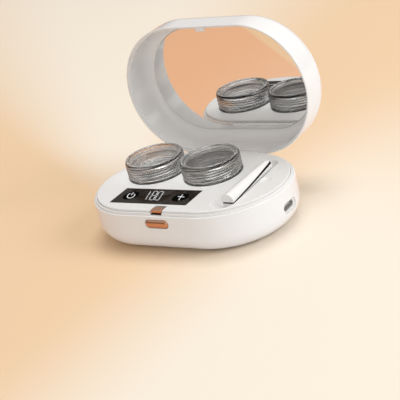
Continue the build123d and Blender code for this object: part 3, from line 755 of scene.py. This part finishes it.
def printed_arc(bm, radius, start, sweep):
    """A thin arc round the mark's centre, with start and sweep in degrees."""
    made = bmesh.ops.create_grid(bm, x_segments=1, y_segments=1, size=0.5)["verts"]
    bmesh.ops.scale(bm, verts=made, vec=(print_width, print_height, 1))
    bmesh.ops.rotate(bm, verts=made, cent=(0, 0, 0), matrix=Matrix.Rotation(math.pi / 2, 3, "X"))
    bmesh.ops.translate(bm, verts=made, vec=(radius * mm, 0, 0))
    bmesh.ops.rotate(bm, verts=made, cent=(0, 0, 0), matrix=Matrix.Rotation(math.radians(start), 3, "Z"))
    section = made + [e for e in bm.edges if all(v in made for v in e.verts)]
    section += [f for f in bm.faces if all(v in made for v in f.verts)]
    bmesh.ops.spin(bm, geom=section, cent=(0, 0, 0), axis=(0, 0, 1), angle=math.radians(sweep),
                   steps=arc_steps)


def printed_piece(bm, name, slant, x, y, glass_z):
    """Slants a finished mark and sets it down a hair above the glass."""
    bmesh.ops.recalc_face_normals(bm, faces=bm.faces)
    bmesh.ops.transform(bm, matrix=slant.to_4x4(), verts=bm.verts)
    mark = piece_from(bm, name, lit_white, (x, y, glass_z + print_height / 2 + print_lift), "base")


# %% Touch marks
mark_slant = Matrix(((1, -0.3, 0), (-0.12, 1.25, 0), (0, 0, 1)))
ring_radius = 2.15
ring_gap = 80
power_bar = ((0, 0.3), (0, 2.7))
plus_bars = (((0, -2.3), (0, 2.5)), ((-2.0, 0.5), (2.0, 0.5)))


def make_mark(name, pad, bars, ringed):
    low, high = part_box(pad)
    bm = bmesh.new()
    if ringed:
        printed_arc(bm, ring_radius, 90 + ring_gap / 2, 360 - ring_gap)
    for start, end in bars:
        printed_bar(bm, start, end)
    printed_piece(bm, name, mark_slant, (low.x + high.x) / 2, (low.y + high.y) / 2, high.z)


make_mark("power_mark", "power_touch_pad", [power_bar], ringed=True)
make_mark("plus_mark", "timer_touch_pad", plus_bars, ringed=False)


# %% [markdown]
# ## Figures of the timer
# The real figures are seven-segment digits that glow through the glass. Text set in a font would have the
# wrong strokes, so each figure is a list of lettered bars, as a display maker names them, and all of them
# lean together.

# %% Figures of the timer
timer_reading = "180"
figure_width = 0.24 * mm
figure_middle = (-11.6 * mm, -17.4 * mm)
figure_half_width = 1.22
figure_half_height = 4.57
figure_gap = 0.3
figure_bars = {"1": "bc", "8": "abcdefg", "0": "abcdef"}
figure_pitch = 3.4
figure_shift = {"1": -1.05, "8": 0.15, "0": 0.0}
figure_slant = Matrix(((1, -0.3, 0), (0, 1, 0), (0, 0, 1)))


def make_figures():
    """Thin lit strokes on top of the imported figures, which are the wider diffusers under them."""
    _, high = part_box("display_digits")
    right = figure_half_width
    top = figure_half_height
    level = ((figure_gap - right, 0), (right - figure_gap, 0))
    upright = ((0, figure_gap), (0, top - figure_gap))
    bars = {"a": (level, (0, top)), "g": (level, (0, 0)), "d": (level, (0, -top)),
            "b": (upright, (right, 0)), "c": (upright, (right, -top)),
            "f": (upright, (-right, 0)), "e": (upright, (-right, -top))}
    bm = bmesh.new()
    for index, figure in enumerate(timer_reading):
        for name in figure_bars[figure]:
            (start, end), shift = bars[name]
            offset = Vector(shift) + Vector(((index - 1) * figure_pitch + figure_shift[figure], 0))
            printed_bar(bm, Vector(start) + offset, Vector(end) + offset, figure_width)
    printed_piece(bm, "timer_figures", figure_slant, *figure_middle, high.z)


make_figures()


# %% [markdown]
# ## Floor
# The cleaner stands on a plain pale floor. Its cream carries two painted pools of light, and in reflections
# it shows a deeper peach, so a ray's kind picks the colour: cream with the painted pools where the floor is
# seen, peach in reflections, and a fade from warm to near white for the light that it throws back. A picture
# would do too, but plain fades between a few colours stay soft at any size.

# %% Fades
floor_size = 6.0
# Where the painted pools of light lie on the floor, in metres.
fan_x = -0.05
fan_left = (-1.7, -0.8)
fan_right = (0.0, -0.6)
fan_start = (0.0, 0.09)
pool_left = (-0.03, 0.07)
pool_back = (0.24, -0.02)


def fade(tree, value, low, high):
    """A soft step from 0 to 1 as value goes from low to high, or from 1 to 0 where low is above high."""
    step = add_node(tree, "MapRange", {"From Min": min(low, high), "From Max": max(low, high)},
                    interpolation_type="SMOOTHSTEP")
    if low > high:
        step.inputs["To Min"].default_value = 1.0
        step.inputs["To Max"].default_value = 0.0
    join(tree, value, step.inputs["Value"])
    return step.outputs["Result"]


def painted_light_pools(tree, x, y):
    """Painted pools of light on the floor: a fan behind the cleaner's left side and a pool at its front
    right.
    """
    slant = maths(tree, "DIVIDE", maths(tree, "SUBTRACT", x, fan_x), y)
    fan = maths(tree, "MULTIPLY", fade(tree, slant, *fan_left), fade(tree, slant, *fan_right))
    fan = maths(tree, "MULTIPLY", fan, fade(tree, y, *fan_start))
    pool = maths(tree, "MULTIPLY", fade(tree, x, *pool_left), fade(tree, y, *pool_back))
    return maths(tree, "MAXIMUM", fan, pool)


# %% Floor
cream = (0.95, 0.82, 0.66)
# The colour of the painted pools of light.
painted_pool_cream = (0.915, 0.835, 0.715)
warm_cream = (0.86, 0.62, 0.395)
peach = (0.90, 0.50, 0.28)
peach_ends = (-0.15, 0.25)
corner_peach = (0.90, 0.61, 0.355)
corner_slope = 0.955
corner_ends = (0.050, 0.054)
warm_pale = (0.82, 0.60, 0.42)
light_pale = (0.90, 0.88, 0.86)
bounce_ends = (-0.09, 0.07)
floor_roughness = 0.8


def lighter_corner(tree, x, y):
    """Past a slanting line the floor's reflection is lighter, as in the mirror's upper corner."""
    beyond = add_node(tree, "MapRange", {"From Min": corner_ends[0], "From Max": corner_ends[1]})
    lean = maths(tree, "SUBTRACT", maths(tree, "MULTIPLY", x, corner_slope), y)
    join(tree, lean, beyond.inputs["Value"])
    return blended(tree, beyond.outputs["Result"], peach, corner_peach)


def cream_floor():
    """A matt floor: cream with painted pools of light to the eye, peach in reflections, warm to near white
    for bounced light.
    """
    material, tree, shader = new_material("cream_floor")
    shader.inputs["Roughness"].default_value = floor_roughness
    path = add_node(tree, "LightPath")
    x, y, _ = object_place(tree)
    seen_colour = blended(tree, painted_light_pools(tree, x, y), warm_cream, painted_pool_cream)
    bounced_colour = blended(tree, fade(tree, x, *bounce_ends), warm_pale, light_pale)
    mirrored_colour = blended(tree, fade(tree, x, *peach_ends), lighter_corner(tree, x, y), cream)
    seen = maths(tree, "MAXIMUM", path.outputs["Is Camera Ray"], path.outputs["Is Transmission Ray"])
    direct = blended(tree, seen, bounced_colour, seen_colour)
    colour = blended(tree, path.outputs["Is Glossy Ray"], direct, mirrored_colour)
    join(tree, colour, shader.inputs["Base Color"])
    return material


floor_mesh = bpy.data.meshes.new("floor")
floor_bm = bmesh.new()
bmesh.ops.create_grid(floor_bm, x_segments=1, y_segments=1, size=floor_size / 2)
floor_bm.to_mesh(floor_mesh)
floor_bm.free()
floor_mesh.materials.append(cream_floor())
floor = bpy.data.objects.new("floor", floor_mesh)
bpy.context.scene.collection.objects.link(floor)
print("floor:", floor_size, "m wide")


# %% [markdown]
# ## World and lamps
# Three soft lamps light the cleaner as a small studio would: a key from the right, a top light and a weak
# front light. Polished metal needs something dark to show against something bright, so in reflections the
# room climbs from a dark floor line to a bright ceiling, while everything else sees one even pale tone.

# %% World
room_strength = 0.56
room_low = (0.16, 0.11, 0.08)
room_high = (1.30, 1.25, 1.20)
room_top = 0.55
room_fill = (0.95, 0.90, 0.85)

world = bpy.data.worlds.new("studio")
world.use_nodes = True
bpy.context.scene.world = world
tree = world.node_tree
background = tree.nodes["Background"]
background.inputs["Strength"].default_value = room_strength
way = add_node(tree, "TexCoord")
parts = add_node(tree, "SeparateXYZ")
climb = add_node(tree, "MapRange", {"From Min": 0.0, "From Max": room_top})
ray = add_node(tree, "LightPath")
join(tree, way.outputs["Generated"], parts.inputs[0])
join(tree, parts.outputs["Z"], climb.inputs["Value"])
room = blended(tree, climb.outputs["Result"], room_low, room_high)
join(tree, blended(tree, ray.outputs["Is Glossy Ray"], room_fill, room), background.inputs["Color"])
print("room strength:", room_strength)


# %% Lamps
lamp_target = Vector((0.0, 0.0, 0.04))


def softbox(name, place, size, watts, colour=(1, 1, 1)):
    """A square soft lamp that faces the middle of the cleaner."""
    data = bpy.data.lights.new(name, "AREA")
    data.shape = "SQUARE"
    data.size = size
    data.energy = watts
    data.color = colour
    lamp = bpy.data.objects.new(name, data)
    lamp.location = place
    lamp.rotation_euler = (lamp_target - Vector(place)).to_track_quat("-Z", "Y").to_euler()
    bpy.context.scene.collection.objects.link(lamp)


softbox("key", (1.60, 0.15, 0.95), size=0.9, watts=13.7, colour=(0.98, 0.99, 1.0))
softbox("top", (0.0, 0.40, 1.80), size=1.0, watts=12.0)
softbox("front", (0.70, -1.50, 0.50), size=0.8, watts=2.8, colour=(0.97, 0.99, 1.0))
print("lamps:", len(bpy.data.lights))
